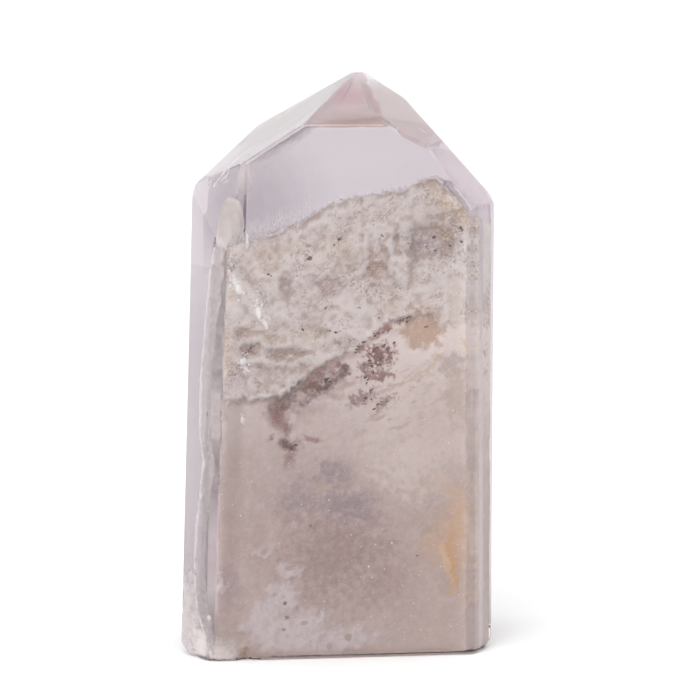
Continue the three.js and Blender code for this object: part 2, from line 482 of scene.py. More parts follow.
def clearQuartzMaterial():
    material, tree = newMaterial("clearLilacQuartz")
    finish = clearFinish
    point = inMillimetres(tree)
    bent = wanderingPoint(tree, point, 0.5, 2.4)
    worn = patchMask(tree, bent, grainSignal(tree, point, 1.5, 4, 0.9), finish["worn"])
    ripple = mathNode(tree, "MULTIPLY", noiseNode(tree, point, 1.3, 4)["Fac"], worn)
    surface = {
        "Base Color": finish["tint"],
        "Roughness": rangeNode(tree, worn, 0, 1, finish["polish"], finish["frosted"], "LINEAR"),
        "IOR": finish["ior"],
        "Transmission Weight": 1,
        "Normal": bumpNode(tree, ripple, 0.4, 0.6),
    }
    depth = {"Color": finish["absorbColour"], "Density": finish["absorbDensity"]}
    finishMaterial(tree, surface, addNode(tree, "ShaderNodeVolumeAbsorption", depth).outputs[0])
    return material


def makeChips():
    places = [(chip["at"], chip["size"], (0, 0, 0)) for chip in polishedSpec["chips"]]
    chips = joinCopies(newPebble(3), places, "chips")
    applyModifier(chips, "REMESH", mode="VOXEL", voxel_size=polishedSpec["chipVoxel"] * mm)
    displaceByClouds(chips, "chipClouds", 0.8, 0.5)
    return chips


def polishedPlanes():
    planes = [planeOf(face) for face in polishedSpec["prism"].values()]
    planes += [planeOf(face) for face in polishedSpec["shoulders"]]
    planes += [planeThrough(face, polishedSpec["apex"]) for face in polishedSpec["cap"]]
    return planes + [planeOf(face) for face in polishedSpec["blunted"]]


def makePolishedPoint(planes):
    point = cutBlock("polished_point", planes, 0)
    rounding = {"width": polishedSpec["edgeWidth"] * mm, "segments": polishedSpec["edgeSteps"]}
    applyModifier(point, "BEVEL", limit_method="ANGLE", angle_limit=math.radians(8), **rounding)
    chips = makeChips()
    applyModifier(point, "BOOLEAN", operation="DIFFERENCE", object=chips, solver="EXACT")
    bpy.data.objects.remove(chips)
    pick(point)
    bpy.ops.object.shade_smooth_by_angle(angle=math.radians(12))
    applyModifier(point, "WEIGHTED_NORMAL", weight=100, keep_sharp=True)
    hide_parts("clear_quartz")
    finishPiece(point, clearQuartzMaterial())


# Clouded crystal

def stain(colour, at, size, turn=0, soft=0.7, strength=0.92, grain="coarse"):
    return {
        "colour": underQuartz(*colour, 1 + 0.45 * smooth(32, 44, at[1])),
        "at": (at[0], -12, at[1]),
        "size": (size[0], 5, size[1]),
        "turn": turn,
        "soft": soft,
        "strength": strength,
        "grain": grain,
    }


stainFinish = {
    # colours up the height of the crystal, from foot to crest
    "levels": [
        (0, underQuartz(184, 167, 163)),
        (0.2, underQuartz(173, 154, 150)),
        (0.36, underQuartz(177, 160, 156)),
        (0.5, underQuartz(210, 195, 191)),
        (0.66, inCrust(208, 194, 191)),
        (1, inCrust(230, 220, 217)),
    ],
    "levelsTop": 62,
    "pale": inCrust(228, 218, 217),
    "tan": inCrust(188, 165, 149),
    "smoke": inCrust(164, 151, 152),
    "dust": inCrust(122, 104, 96),
    "chalk": underQuartz(210, 200, 204),
    "chalkDark": underQuartz(190, 177, 180),
    # pale colour for painted highlights on edges and rises, painted light on the upper right side, and the
    # pale left edges
    "rim": inCrust(226, 220, 219),
    # painted light: the pale colour laid on upward faces high up and on the upper back
    "top": (0.93, 0.835, 0.9, 1),
    "leftSide": underQuartz(202, 190, 197),
    "streaky": stain((176, 158, 149), (7, 32), (10, 6.5), turn=25, soft=0.9, strength=1),
    "streakPale": underQuartz(218, 206, 202),
    "grit": inCrust(104, 84, 76),
    "vein": inCrust(236, 230, 230),
    "edgeBand": underQuartz(226, 212, 221),
    # painted shade laid in hollows of the front, and how strongly it and the painted highlight on rises are
    # laid on
    "hollow": inCrust(146, 127, 117),
    "hollowShadeStrength": 0.5,
    "proudHighlightStrength": 0.45,
    "bump": 0.5,
    "lowerBody": [
        stain((152, 132, 130), (-1, 13), (10, 9), soft=0.95),
        stain((146, 134, 138), (-0.6, 23.6), (3.4, 2.2)),
        stain((150, 137, 142), (-4.4, 20.2), (6, 3), soft=0.8, strength=0.8),
        stain((144, 131, 137), (2, 19.2), (4.4, 2.8), soft=0.8),
        stain((158, 138, 138), (5.6, 8.2), (4, 4), soft=0.9, strength=0.6),
        stain((164, 146, 150), (-14.4, 9), (2.6, 4), soft=0.8, strength=0.8),
        stain((190, 174, 172), (-11.4, 19.6), (3, 4.6), soft=0.9, strength=0.6),
        stain((214, 199, 192), (9.4, 26.5), (9, 8), soft=0.9),
        stain((202, 186, 180), (12, 31), (5, 5), soft=0.9),
        stain((200, 185, 179), (-2.8, 30.4), (3.4, 2.2), soft=0.8, strength=0.75),
        stain((171, 155, 146), (-14.6, 32.4), (1.5, 2.3)),
        stain((171, 151, 147), (-15.6, 23), (1.7, 7), strength=0.6),
        stain((207, 197, 195), (-12.8, 30.2), (1.5, 3.8), strength=0.7),
        stain((165, 152, 142), (12, 15.7), (1.7, 1.9)),
        stain((194, 162, 144), (12.3, 13.2), (2.6, 3), strength=0.85),
        stain((200, 166, 142), (14.8, 16.5), (3, 8), soft=0.8, strength=1),
        stain((196, 165, 145), (16, 7), (1.4, 1.9), strength=0.7),
        stain((198, 150, 110), (14, 12.6), (0.9, 4.6), turn=-2, strength=0.7, grain="soft"),
        stain((200, 148, 104), (14.3, 9.8), (0.5, 2.8), turn=12, strength=0.7, grain="soft"),
        stain((222, 182, 142), (13.4, 12), (0.5, 2.6), turn=4, strength=0.7, grain="soft"),
        stain((202, 154, 100), (13.9, 8), (0.6, 0.5), strength=0.7),
        stain((186, 169, 166), (-11, 22), (4, 5), soft=0.9, strength=0.5),
        stain((192, 172, 166), (12, 4), (7, 6), soft=0.9, strength=0.7),
        stain((214, 194, 186), (17, 14), (1.4, 11), soft=0.9, strength=0.9),
        stain((216, 204, 198), (-15, 1.2), (3.4, 1.5), strength=0.8),
        stain((150, 126, 108), (-12.9, 0.9), (1.3, 0.7), strength=0.95),
        stain((214, 202, 199), (7.5, 23.6), (3.4, 2.2), soft=0.9, strength=0.6),
        stain((211, 198, 194), (2.6, 27), (2.6, 1.7), turn=20, soft=0.9, strength=0.6),
        stain((178, 160, 158), (8, 27.6), (3, 0.8), turn=20, strength=0.5),
    ],
    "crust": [
        stain((140, 126, 127), (11.8, 52.4), (4.8, 2.6), strength=0.95),
        stain((128, 118, 124), (10.4, 52.3), (2, 1.3), turn=-10, strength=0.9),
        stain((138, 116, 102), (14, 53.6), (2.2, 1.2), grain="fine", strength=0.9),
        stain((206, 200, 198), (10.6, 54.9), (2, 1), turn=20, strength=0.85),
        stain((150, 128, 110), (15.2, 56), (1.8, 1.6), grain="fine", strength=0.9),
        stain((164, 144, 126), (12.8, 58), (2.6, 1.3), turn=-20, grain="fine", strength=0.85),
        stain((160, 150, 148), (9.2, 49.2), (1.9, 0.5), grain="fine", strength=0.8),
        stain((172, 154, 142), (13.3, 55.4), (3.8, 2.1), strength=0.75),
        stain((164, 152, 151), (11.5, 50.1), (3.2, 0.9)),
        stain((152, 126, 114), (5.2, 49.9), (1.8, 3), strength=1),
        stain((194, 175, 161), (0.7, 51.7), (2.8, 2.2)),
        stain((188, 169, 155), (-8.5, 51.4), (2.4, 2)),
        stain((148, 124, 98), (-14.3, 51.6), (1.1, 2), strength=1),
        stain((178, 161, 148), (-14.6, 46), (1, 3.4)),
        stain((174, 153, 139), (-14.5, 40.4), (1.4, 2.6)),
        stain((156, 140, 131), (-12.3, 41.7), (2.8, 0.7), turn=28),
        stain((124, 100, 89), (-10.9, 39.6), (1.3, 1), grain="fine", strength=0.95),
        stain((148, 125, 113), (-7.2, 38.6), (1.9, 0.8), turn=15, grain="fine"),
        stain((148, 127, 117), (-4.6, 39), (1.5, 0.6), grain="fine"),
        stain((174, 155, 142), (-8.5, 40.7), (1.3, 1.3)),
        stain((199, 181, 167), (-3, 40.4), (3.8, 1.5), strength=0.7),
        stain((148, 134, 133), (-0.9, 47.2), (2.4, 1.8)),
        stain((168, 155, 151), (-6.3, 47.5), (0.9, 2), turn=-30),
        stain((173, 161, 158), (-2.5, 44.6), (3.2, 1.3), strength=0.7),
        stain((216, 209, 207), (-13.2, 48.3), (1.8, 2.1)),
        stain((217, 210, 208), (-10.2, 45), (1, 3), turn=-35),
        stain((216, 208, 205), (13, 47.6), (4.2, 2.7)),
        stain((220, 210, 208), (9, 57), (5, 1.6), strength=0.8),
        stain((222, 212, 209), (1, 55.8), (5.6, 1.9), strength=0.75),
        stain((168, 141, 122), (10.8, 41.6), (3, 2.8), soft=0.35),
        stain((168, 144, 126), (11.5, 41.8), (1, 1.2), strength=0.6),
        stain((169, 159, 157), (14.1, 37.2), (2.4, 1.9)),
        stain((181, 165, 157), (15.2, 33), (2.4, 4.6), strength=0.75),
        stain((196, 182, 168), (15.2, 44), (1.5, 2.2), strength=0.6),
        stain((160, 136, 116), (17.8, 53), (0.6, 3.4), strength=0.9),
        stain((138, 112, 92), (18.3, 41.6), (0.4, 1.3), grain="fine", strength=1),
        stain((150, 122, 100), (18.3, 38.4), (0.35, 1.1), grain="fine", strength=1),
        stain((140, 114, 92), (18.3, 35.4), (0.35, 1.5), grain="fine", strength=1),
        stain((196, 172, 158), (18, 30), (0.9, 3), strength=0.7),
    ],
    "maroon": [
        stain((158, 130, 131), (-3.8, 33.4), (6.6, 3.4), turn=28, soft=1, strength=0.85, grain="soft"),
        stain((190, 176, 181), (-7.6, 36), (2.4, 1.3)),
        stain((84, 54, 59), (-4.4, 34.2), (3.2, 1.7), turn=18, soft=0.8, strength=1),
        stain((76, 44, 50), (-0.9, 35), (2.4, 1.1), turn=25, strength=1),
        stain((82, 48, 54), (0.8, 36.6), (1.3, 0.8), turn=20, strength=1),
        stain((78, 54, 60), (-3.2, 33.8), (1.2, 0.7), turn=10, strength=0.9),
        stain((122, 88, 86), (-1.9, 36), (3.3, 1.8), turn=20, strength=0.8),
        stain((90, 48, 55), (-7.1, 32.1), (2.4, 1.8), turn=30, strength=1, grain="soft"),
        stain((104, 64, 70), (-7.6, 30.8), (1.7, 2.1), strength=0.9, grain="soft"),
        stain((128, 94, 100), (-6.7, 29.4), (1.2, 2), strength=0.9, grain="soft"),
        stain((88, 54, 62), (-6.1, 27.2), (1.7, 1.2), turn=-15, strength=1, grain="soft"),
        stain((132, 100, 104), (-6.3, 25.3), (1.1, 1.5), strength=0.8, grain="soft"),
        stain((140, 112, 114), (-8.7, 28.3), (0.7, 0.5)),
        stain((140, 112, 114), (-3.8, 28), (1.8, 0.5)),
        stain((112, 80, 78), (8.5, 42.9), (1.8, 0.7), turn=10, strength=1),
        stain((116, 84, 80), (5.9, 41.6), (1.7, 0.7), turn=30, strength=0.95),
        stain((124, 94, 92), (3.3, 39.6), (1.3, 0.9), grain="fine"),
        stain((104, 76, 74), (5.4, 38.4), (2, 1.8), grain="fine", strength=1),
        stain((112, 86, 84), (3.4, 37), (1.2, 0.9), grain="fine"),
        stain((124, 96, 92), (4.2, 35.7), (2.3, 0.8), grain="fine"),
        stain((118, 92, 88), (5.9, 36.1), (1.2, 1), grain="fine"),
        stain((132, 110, 108), (3.3, 33.2), (2.6, 1.1), turn=20, grain="fine"),
        stain((134, 112, 110), (6.1, 32.4), (1.9, 1), turn=45, grain="fine"),
        stain((187, 166, 142), (12.5, 37.5), (1.7, 0.5), turn=50, soft=0.9),
        stain((188, 167, 145), (10.2, 35.7), (2.7, 0.45), turn=30, soft=0.9),
    ],
    "holes": [
        stain((172, 156, 156), (-8.5, 8.2), (0.45, 0.42), soft=0.4),
        stain((150, 132, 130), (-7.2, 7), (0.28, 0.28), soft=0.4),
        stain((138, 120, 120), (-7, 5.2), (0.4, 0.35), soft=0.4),
        stain((150, 134, 132), (-7.5, 3.7), (0.35, 0.3), soft=0.4),
        stain((172, 154, 152), (-4.7, 4.5), (0.5, 0.45), soft=0.4),
        stain((166, 146, 142), (0.8, 2.4), (0.6, 0.55), soft=0.4),
        stain((176, 160, 160), (-1.6, 1.4), (0.5, 0.5), soft=0.4),
        stain((172, 152, 150), (-9.8, 13.6), (0.45, 0.4), soft=0.4),
        stain((172, 152, 150), (-6.6, 11.6), (0.5, 0.4), soft=0.4),
    ],
}


# The same point drawn out along streaks that rise to the right.
def streakPoint(tree, point):
    turned = turnNode(tree, point, math.radians(24))
    return addNode(tree, "ShaderNodeMapping", {"Vector": turned, "Scale": (0.4, 1, 1.25)}).outputs[0]


# A random value for each small crystal grain.
def granuleValue(tree, point, scale):
    cells = addNode(tree, "ShaderNodeTexVoronoi", {"Vector": point, "Scale": scale})
    return addNode(tree, "ShaderNodeSeparateColor", {0: cells.outputs["Color"]}).outputs[0]


# Thin wandering veins, along which a noise passes its middle value.
def veinMask(tree, point, scale, wide, strength):
    folds = noiseNode(tree, point, scale, 6, 0.6)["Fac"]
    middle = mathNode(tree, "ABSOLUTE", mathNode(tree, "SUBTRACT", folds, 0.5), 0)
    return rangeNode(tree, middle, wide, 0, 0, strength)


def cloudedQuartzMaterial():
    material, tree = newMaterial("cloudedQuartz")
    finish = stainFinish
    point = inMillimetres(tree)
    streaks = streakPoint(tree, point)
    bent = wanderingPoint(tree, wanderingPoint(tree, point, 0.3, 2.6), 1.2, 1)
    grains = {
        "soft": grainSignal(tree, point, 0.9, 6, 1.2),
        "coarse": grainSignal(tree, point, 1, 7, 2.4),
        "fine": grainSignal(tree, point, 1.9, 6, 3),
    }
    parts = addNode(tree, "ShaderNodeSeparateXYZ", {"Vector": bent})
    level = mathNode(tree, "DIVIDE", parts.outputs["Z"], finish["levelsTop"])
    crust = maskNamed(tree, "crust")
    faint = rangeNode(tree, crust, 0, 1, 0.12, 1, "LINEAR")
    colour = colourRamp(tree, level, finish["levels"])

    def both(first, second):
        return mathNode(tree, "MULTIPLY", first, second)

    def paint(mask, name):
        return mixNode(tree, mask, colour, finish[name] if isinstance(name, str) else name)

    # strong in the crust and faint below it
    def paintCrust(mask, strength, name):
        return paint(both(mask, both(faint, strength)), name)

    colour = paintCrust(mottleMask(tree, bent, 0.2, 0.5, 0.6), 0.7, "tan")
    colour = paintCrust(mottleMask(tree, streaks, 0.3, 0.53, 0.62), 0.75, "smoke")
    colour = paintCrust(mottleMask(tree, point, 0.16, 0.45, 0.58), 0.7, "pale")
    colour = paintCrust(mottleMask(tree, bent, 0.6, 0.52, 0.62), 0.55, "vein")
    for spot in finish["lowerBody"] + finish["crust"] + finish["maroon"]:
        colour = paint(patchMask(tree, bent, grains[spot["grain"]], spot), spot["colour"])
    colour = paintCrust(mottleMask(tree, streaks, 3, 0.5, 0.58), 0.38, "pale")
    dirty = mottleMask(tree, bent, 0.35, 0.46, 0.6)
    colour = paintCrust(both(mottleMask(tree, point, 3, 0.54, 0.6), dirty), 0.5, "dust")
    granule = granuleValue(tree, bent, 4)
    colour = paintCrust(rangeNode(tree, granule, 0.72, 0.9), 0.34, "vein")
    colour = paintCrust(both(rangeNode(tree, granule, 0.25, 0.08), dirty), 0.5, "grit")
    broken = mottleMask(tree, point, 0.5, 0.5, 0.6)
    colour = paintCrust(both(veinMask(tree, streaks, 0.5, 0.02, 0.8), broken), 1, "vein")
    colour = paintCrust(both(veinMask(tree, bent, 0.3, 0.008, 0.5), dirty), 1, "grit")
    # streaks in the pale part right of the maroon
    streaky = patchMask(tree, bent, grains["soft"], finish["streaky"])
    streaked = both(mottleMask(tree, streaks, 0.8, 0.52, 0.6, 0.8), streaky)
    colour = paint(streaked, finish["streaky"]["colour"])
    colour = paint(both(mottleMask(tree, streaks, 1.1, 0.52, 0.6, 0.8), streaky), "streakPale")
    chalkPatches = mottleMask(tree, point, 1.1, 0.42, 0.62, 0.8)
    chalkTone = mixNode(tree, chalkPatches, finish["chalk"], finish["chalkDark"])
    colour = paint(both(maskNamed(tree, "chalk"), mottleMask(tree, point, 1.6, 0.3, 0.44)), chalkTone)
    for spot in finish["holes"]:
        colour = paint(patchMask(tree, point, grains["coarse"], spot), spot["colour"])
    # painted shade in hollows and painted highlight on rises of the front
    colour = paint(both(maskNamed(tree, "hollow"), finish["hollowShadeStrength"]), "hollow")
    colour = paint(both(maskNamed(tree, "proud"), finish["proudHighlightStrength"]), "rim")
    sideTone = mixNode(tree, mottleMask(tree, bent, 0.2, 0.4, 0.7, 0.2), finish["leftSide"], finish["rim"])
    colour = paint(maskNamed(tree, "leftSide"), sideTone)
    # painted highlight along crest and ledges, painted light on the upper right side, and pale left edges
    colour = paint(maskNamed(tree, "rim"), "rim")
    colour = paint(maskNamed(tree, "edgeBand"), "edgeBand")
    # painted light on upward faces and the upper back, mottled with tan
    paintedLightTopTone = mixNode(tree, mottleMask(tree, bent, 0.35, 0.46, 0.6, 0.6), finish["top"], finish["tan"])
    colour = paint(maskNamed(tree, "top"), paintedLightTopTone)
    height = both(noiseNode(tree, point, 2, 8, 0.75)["Fac"], crust)
    bump = bumpNode(tree, height, finish["bump"], 1)
    finishMaterial(tree, {"Base Color": colour, "Roughness": 0.75, "Normal": bump})
    return material


# A cutter with the crest as its underside: the crest line drawn out point by point, then drawn
# back and up.
def makeCrestCutter():
    line = cloudedSpec["crestLine"]
    front = -16
    back = 32
    above = 30
    startZ = line[0][1] - cloudedSpec["crestFall"] * (front - cloudedSpec["crestFront"])
    pairs = zip(line, line[1:])
    steps = [((toX - fromX) * mm, 0, (toZ - fromZ) * mm) for (fromX, fromZ), (toX, toZ) in pairs]
    cutter = drawChain("crest_cutter", (line[0][0] * mm, front * mm, startZ * mm), steps)
    drawnBack = (0, back * mm, -cloudedSpec["crestFall"] * back * mm)
    bpy.ops.mesh.extrude_edges_move(TRANSFORM_OT_translate={"value": drawnBack})
    bpy.ops.mesh.select_all(action="SELECT")
    bpy.ops.mesh.extrude_region_move(TRANSFORM_OT_translate={"value": (0, 0, above * mm)})
    bpy.ops.mesh.select_all(action="SELECT")
    bpy.ops.mesh.normals_make_consistent(inside=False)
    bpy.ops.object.mode_set(mode="OBJECT")
    return cutter


def crestHeight(x, y):
    return lerpLine(cloudedSpec["crestLine"], x) - cloudedSpec["crestFall"] * (y - cloudedSpec["crestFront"])


def crag(x, y, z, scale):
    return noise.fractal(Vector((x, y, z)) * scale, 0.8, 2.1, 5)


# How far (x, z) is from a ridge's crest line, as a share of the ridge's width.
def ridgeReach(ridge, x, z):
    fromX, fromZ, toX, toZ, wide = ridge
    start = Vector((fromX, fromZ))
    along = Vector((toX, toZ)) - start
    part = min(max((Vector((x, z)) - start).dot(along) / along.length_squared, 0), 1)
    return (Vector((x, z)) - start - along * part).length / wide


def ledgeHeight(x, z):
    coarse = 1.1 * crag(x, 3, z, 0.5) + 0.5 * crag(x, 13, z, 1.3)
    return lerpLine(cloudedSpec["ledgeLine"], x) + coarse + 0.25 * crag(x, 21, z, 3)


def upperLedgeHeight(x, z):
    return lerpLine(cloudedSpec["upperLedgeLine"], x) + 0.8 * crag(x, 9, z, 0.6)


# Depth in mm by which the front of the clouded crystal is worn back at (x, z).
def frontDepth(x, z):
    spec = cloudedSpec
    ledge = ledgeHeight(x, z)
    calmRight = 0.5 * smooth(3, 8, x) * (1 - smooth(43, 46, z))
    craggy = 0.12 + 0.88 * smooth(-1.5, 1.5, z - ledge) * (1 - calmRight)
    below = smooth(0, 0.8, ledge - z) * (1 - 0.75 * smooth(3, 24, ledge - z))
    depth = 0.35 + spec["ledgeStep"] * below * (1 - 0.8 * smooth(0, 6, x))
    upperLedge = upperLedgeHeight(x, z)
    depth += 0.5 * smooth(0, 0.5, upperLedge - z) * smooth(-0.2, 1.5, z - ledge) * (1 - smooth(-2, 4, x))
    depth += craggy * (1.2 * abs(crag(x, 0, z, 0.14)) + 0.16 * (0.5 + crag(x * 0.7, 5, z - 0.3 * x, 0.9)))
    depth += 0.12 * (1 + crag(x, 7, z, 0.25))
    for *dent, deep in spec["hollows"]:
        reach = ellipseReach(dent, x, z) + 0.35 * crag(x, 2, z, 0.9)
        depth += deep * smooth(0, 0.6, 1.2 - reach)
    for *ridge, high in spec["ridges"]:
        reach = ridgeReach(ridge, x, z) + 0.3 * crag(x, 4, z, 1.1)
        depth -= high * smooth(0, 0.6, 1.1 - reach)
    return depth


def chalkMask(x, z):
    bendX = x + 0.8 * crag(x, 1, z, 0.7)
    bendZ = z + 0.8 * crag(x, 8, z, 0.7)
    nearest = min(ellipseReach(blob, bendX, bendZ) for blob in cloudedSpec["chalk"])
    return smooth(-0.1, 0.4, 1.1 - nearest + 0.35 * crag(x, 6, z, 1.6))


# Painted highlight along the edges of the lower and upper ledge.
def ledgeHighlight(x, z):
    ledge = ledgeHeight(x, z)
    upperLedge = upperLedgeHeight(x, z)
    lower = (1 - smooth(0.05, 0.38, abs(z - ledge - 0.2))) * (1 - smooth(0, 5, x))
    upper = 0.5 * (1 - smooth(0.05, 0.4, abs(z - upperLedge - 0.2))) * (1 - smooth(-2, 3, x))
    return max(lower, upper) * smooth(-0.4, 0.1, crag(x, 12, z, 0.8))


# Values at the corners of a mesh, evened out with their neighbours' a number of times.
def evenOut(piece, values, rounds):
    pairs = [tuple(edge.vertices) for edge in piece.data.edges]
    counts = [1] * len(values)
    for first, second in pairs:
        counts[first] += 1
        counts[second] += 1
    for turn in range(rounds):
        sums = list(values)
        for first, second in pairs:
            sums[first] += values[second]
            sums[second] += values[first]
        values = [total / count for total, count in zip(sums, counts)]
    return values


def pushBy(piece, name, weights, direction, strength):
    group = piece.vertex_groups.new(name=name)
    for index, weight in enumerate(weights):
        if weight > 0:
            group.add([index], weight, "REPLACE")
    applyModifier(
        piece, "DISPLACE", vertex_group=name, direction=direction, strength=strength * mm, mid_level=0
    )


def setMask(piece, name, values):
    piece.data.attributes.new(name, "FLOAT", "POINT").data.foreach_set("value", values)


def shapeCloudedSurface(crystal):
    spec = cloudedSpec
    pushes = {"worn": [], "raised": [], "crags": [], "tops": []}
    relief = []
    masks = {"rim": [], "chalk": [], "top": [], "edgeBand": [], "crust": [], "leftSide": []}
    for vertex in crystal.data.vertices:
        x, y, z = vertex.co / mm
        leftDepth = behindFace(spec["frontLeft"], x, y, z)
        rightDepth = behindFace(spec["frontRight"], x, y, z)
        backLeftDepth = behindFace(spec["backLeft"], x, y, z)
        isFront = vertex.normal.y < -0.75 and behindFace(spec["front"], x, y, z) < 0.4
        isTop = vertex.normal.z > 0.45 and z > 45
        sideFade = smooth(0, 2.5, min(leftDepth, rightDepth))
        topFade = smooth(0, 1, crestHeight(x, y) - z)
        depth = frontDepth(x, z) * (0.3 + 0.7 * sideFade) * (0.25 + 0.75 * topFade) if isFront else 0
        chalk = chalkMask(x, z) if isFront and z < 16 else 0
        calm = 0.35 + 0.65 * smooth(14, 34, z)
        pushes["worn"].append(min(max(depth, 0), spec["deepest"]) / spec["deepest"])
        pushes["raised"].append(chalk)
        pushes["crags"].append(0 if isFront else calm * min(0.2 + 0.9 * abs(crag(x, y, z, 0.3)), 1))
        pushes["tops"].append(min(0.5 + 0.5 * crag(x, y, 3, 0.9), 1) if isTop else 0)
        relief.append((1 if isFront else 0) * sideFade)
        # painted highlight along the crest edge
        crestHighlight = 0
        if y < -10.5:
            crestHighlight = 1 - smooth(0.1, 0.45, abs(crestHeight(x, y) - z))
            crestHighlight *= 0.45 + 0.55 * smooth(-0.1, 0.3, crag(x, 15, z, 0.6))
        leftRim = 1 - smooth(0.5, 1.8, max(leftDepth, backLeftDepth) + 0.6 * crag(x, y, z, 0.5))
        # painted light on the upper right side and on the upper back
        rightPaintedLight = 0.9 * smooth(17.4, 18.4, x) * smooth(46, 52, z)
        backPaintedLight = 0.8 * smooth(-4, 2, y) * smooth(34, 48, z)
        onRight = 1 - smooth(0.6, 0.9, rightDepth)
        # rim: painted highlight along the crest and the ledges, painted light on the upper right side, and
        # pale left edges
        masks["rim"].append(max(crestHighlight, 0.8 * leftRim, rightPaintedLight, ledgeHighlight(x, z) if isFront else 0))
        masks["chalk"].append(chalk)
        # top: painted light on upward faces high up and on the upper back
        masks["top"].append(max(smooth(0.35, 0.6, vertex.normal.z) if z > 45 else 0, backPaintedLight))
        masks["edgeBand"].append(0.85 * onRight * (1 - smooth(0.3, 0.65, abs(y + 9.6))))
        masks["crust"].append(smooth(-0.6, 0.9, z - ledgeHeight(x, z)))
        masks["leftSide"].append(0.9 * smooth(0.35, 0.6, -vertex.normal.x) * smooth(-4, -7, y))
    # a spot lower than its neighbours gets painted shade (hollow), a spot higher gets a painted highlight
    # (proud)
    around = evenOut(crystal, pushes["worn"], spec["nearRounds"])
    rises = [(near - own) * spec["deepest"] / 0.15 for own, near in zip(pushes["worn"], around)]
    masks["hollow"] = [share * min(max(-rise, 0), 1) for share, rise in zip(relief, rises)]
    masks["proud"] = [share * min(max(rise, 0), 1) for share, rise in zip(relief, rises)]
    for name, values in masks.items():
        setMask(crystal, name, values)
    pushBy(crystal, "worn", pushes["worn"], "Y", spec["deepest"])
    pushBy(crystal, "raised", pushes["raised"], "Y", -spec["chalkHigh"])
    pushBy(crystal, "crags", pushes["crags"], "NORMAL", -spec["cragsDeep"])
    pushBy(crystal, "tops", pushes["tops"], "Z", -spec["topDeep"])


def makeCloudedCrystal():
    names = ("front", "frontRight", "backRight", "back", "backLeft", "frontLeft", "shoulder")
    planes = [planeOf(cloudedSpec[name]) for name in names]
    planes.append((Vector((0, 0, 1)), cloudedSpec["blockTop"] * mm))
    crystal = cutBlock("clouded_crystal", planes, cloudedSpec["footGap"] * mm)
    cutter = makeCrestCutter()
    applyModifier(crystal, "BOOLEAN", operation="DIFFERENCE", object=cutter, solver="EXACT")
    bpy.data.objects.remove(cutter)
    applyModifier(crystal, "REMESH", mode="VOXEL", voxel_size=cloudedSpec["voxel"] * mm)
    applyModifier(crystal, "SMOOTH", factor=0.5, iterations=cloudedSpec["smoothRounds"])
    shapeCloudedSurface(crystal)
    pick(crystal)
    bpy.ops.object.shade_smooth()
    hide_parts("phantom_inclusion")
    finishPiece(crystal, cloudedQuartzMaterial())
    return crystal


# Grains, flakes and fibres

# Small lumps of one mineral as one piece. Its finish is a name, two colours, how rough it is and,
# if it is see-through, how solid. Its clouds are the size and depth of what roughens each lump.
def makeLumps(name, places, finish, subdivisions=2, clouds=None, pattern=None):
    piece = joinCopies(pattern or newPebble(subdivisions), places, name)
    if clouds:
        displaceByClouds(piece, name + "Clouds", *clouds)
    materialName, colour, other, roughness, alpha = (*finish, 1)[:5]
    material, tree = newMaterial(materialName)
    tone = mixNode(tree, mottleMask(tree, inMillimetres(tree), 1.4, 0.4, 0.6), colour, other)
    finishMaterial(tree, {"Base Color": tone, "Roughness": roughness, "Alpha": alpha})
    finishPiece(piece, material)
    return piece


def onFront(crystal, x, z, lift):
    start = Vector((x, -30, z)) * mm
    found, place, normal, index = crystal.ray_cast(start, Vector((0, 1, 0)))
    y = place.y / mm if found else -cloudedSpec["front"][2]
    return (x, y - lift, z)


grainSpec = {
    # dark lumps: middle and size
    "dark": [
        [-3.1, 51, 0.42], [0.4, 53.1, 0.3], [-0.1, 52.6, 0.22], [0.7, 53.4, 0.18], [-8.5, 49.1, 0.26],
        [-4.3, 41.9, 0.24], [-0.9, 41.7, 0.2], [-0.1, 41.5, 0.2], [15.9, 54.3, 0.3], [15.9, 52.7, 0.34],
        [-1.4, 44.6, 0.22], [5.4, 43.3, 0.18], [4.1, 52, 0.18], [5.9, 53.6, 0.16], [-3.7, 16.9, 0.17],
        [9.7, 12.7, 0.16], [-8.2, 48.9, 0.16], [2.8, 44.6, 0.16], [11.3, 41.9, 0.2], [-7.2, 7, 0.16],
    ],
    # clusters of small dark grains: middle, spread and how many
    "clusters": [
        [8.5, 42.9, 1.5, 0.45, 9], [5.9, 41.5, 1.4, 0.6, 9], [5.4, 38.4, 1.7, 1.5, 20],
        [3.3, 39.6, 1, 0.6, 6], [4.3, 36, 2.2, 0.9, 12], [3.4, 33.2, 2, 0.8, 11],
        [6, 32.6, 1.4, 0.8, 7], [-1, 35.2, 1.6, 0.8, 8], [-6.1, 27.2, 1.2, 0.9, 7],
        [-10.9, 39.6, 1, 0.7, 6], [12, 53, 3.4, 1.6, 8],
    ],
    # pearly flakes: middle and half size
    "pearls": [
        [-12.3, 47.3, 0.46, 0.72], [-12.8, 48.4, 0.3, 0.5], [-9.8, 44.2, 0.42, 0.9], [-9, 42.8, 0.3, 0.8],
        [-12, 38, 0.36, 0.5], [-11.6, 37.2, 0.3, 0.5], [-12.1, 30.6, 0.14, 0.3], [-11, 53.4, 0.12, 0.4],
    ],
    # cream and golden grains, in the same way as the clusters
    "golden": [
        [14.6, 57.6, 1.3, 1.5, 90], [16.6, 55, 0.8, 1.4, 50], [14, 53.2, 1.5, 0.8, 40],
        [16.2, 39.2, 0.9, 1.3, 70], [16.6, 48.2, 0.6, 0.7, 30], [15.6, 46.2, 1, 0.5, 24],
        [12, 58.6, 2, 0.5, 30], [8.3, 51, 0.4, 2, 20],
    ],
    # bright dots: middle and size, and how many fine sparkles besides
    "brightDots": [[6.5, 14.5, 0.15], [3.5, 11.5, 0.16], [3.9, 10.1, 0.13], [-12.6, 18.4, 0.12]],
    "sparkles": 420,
}


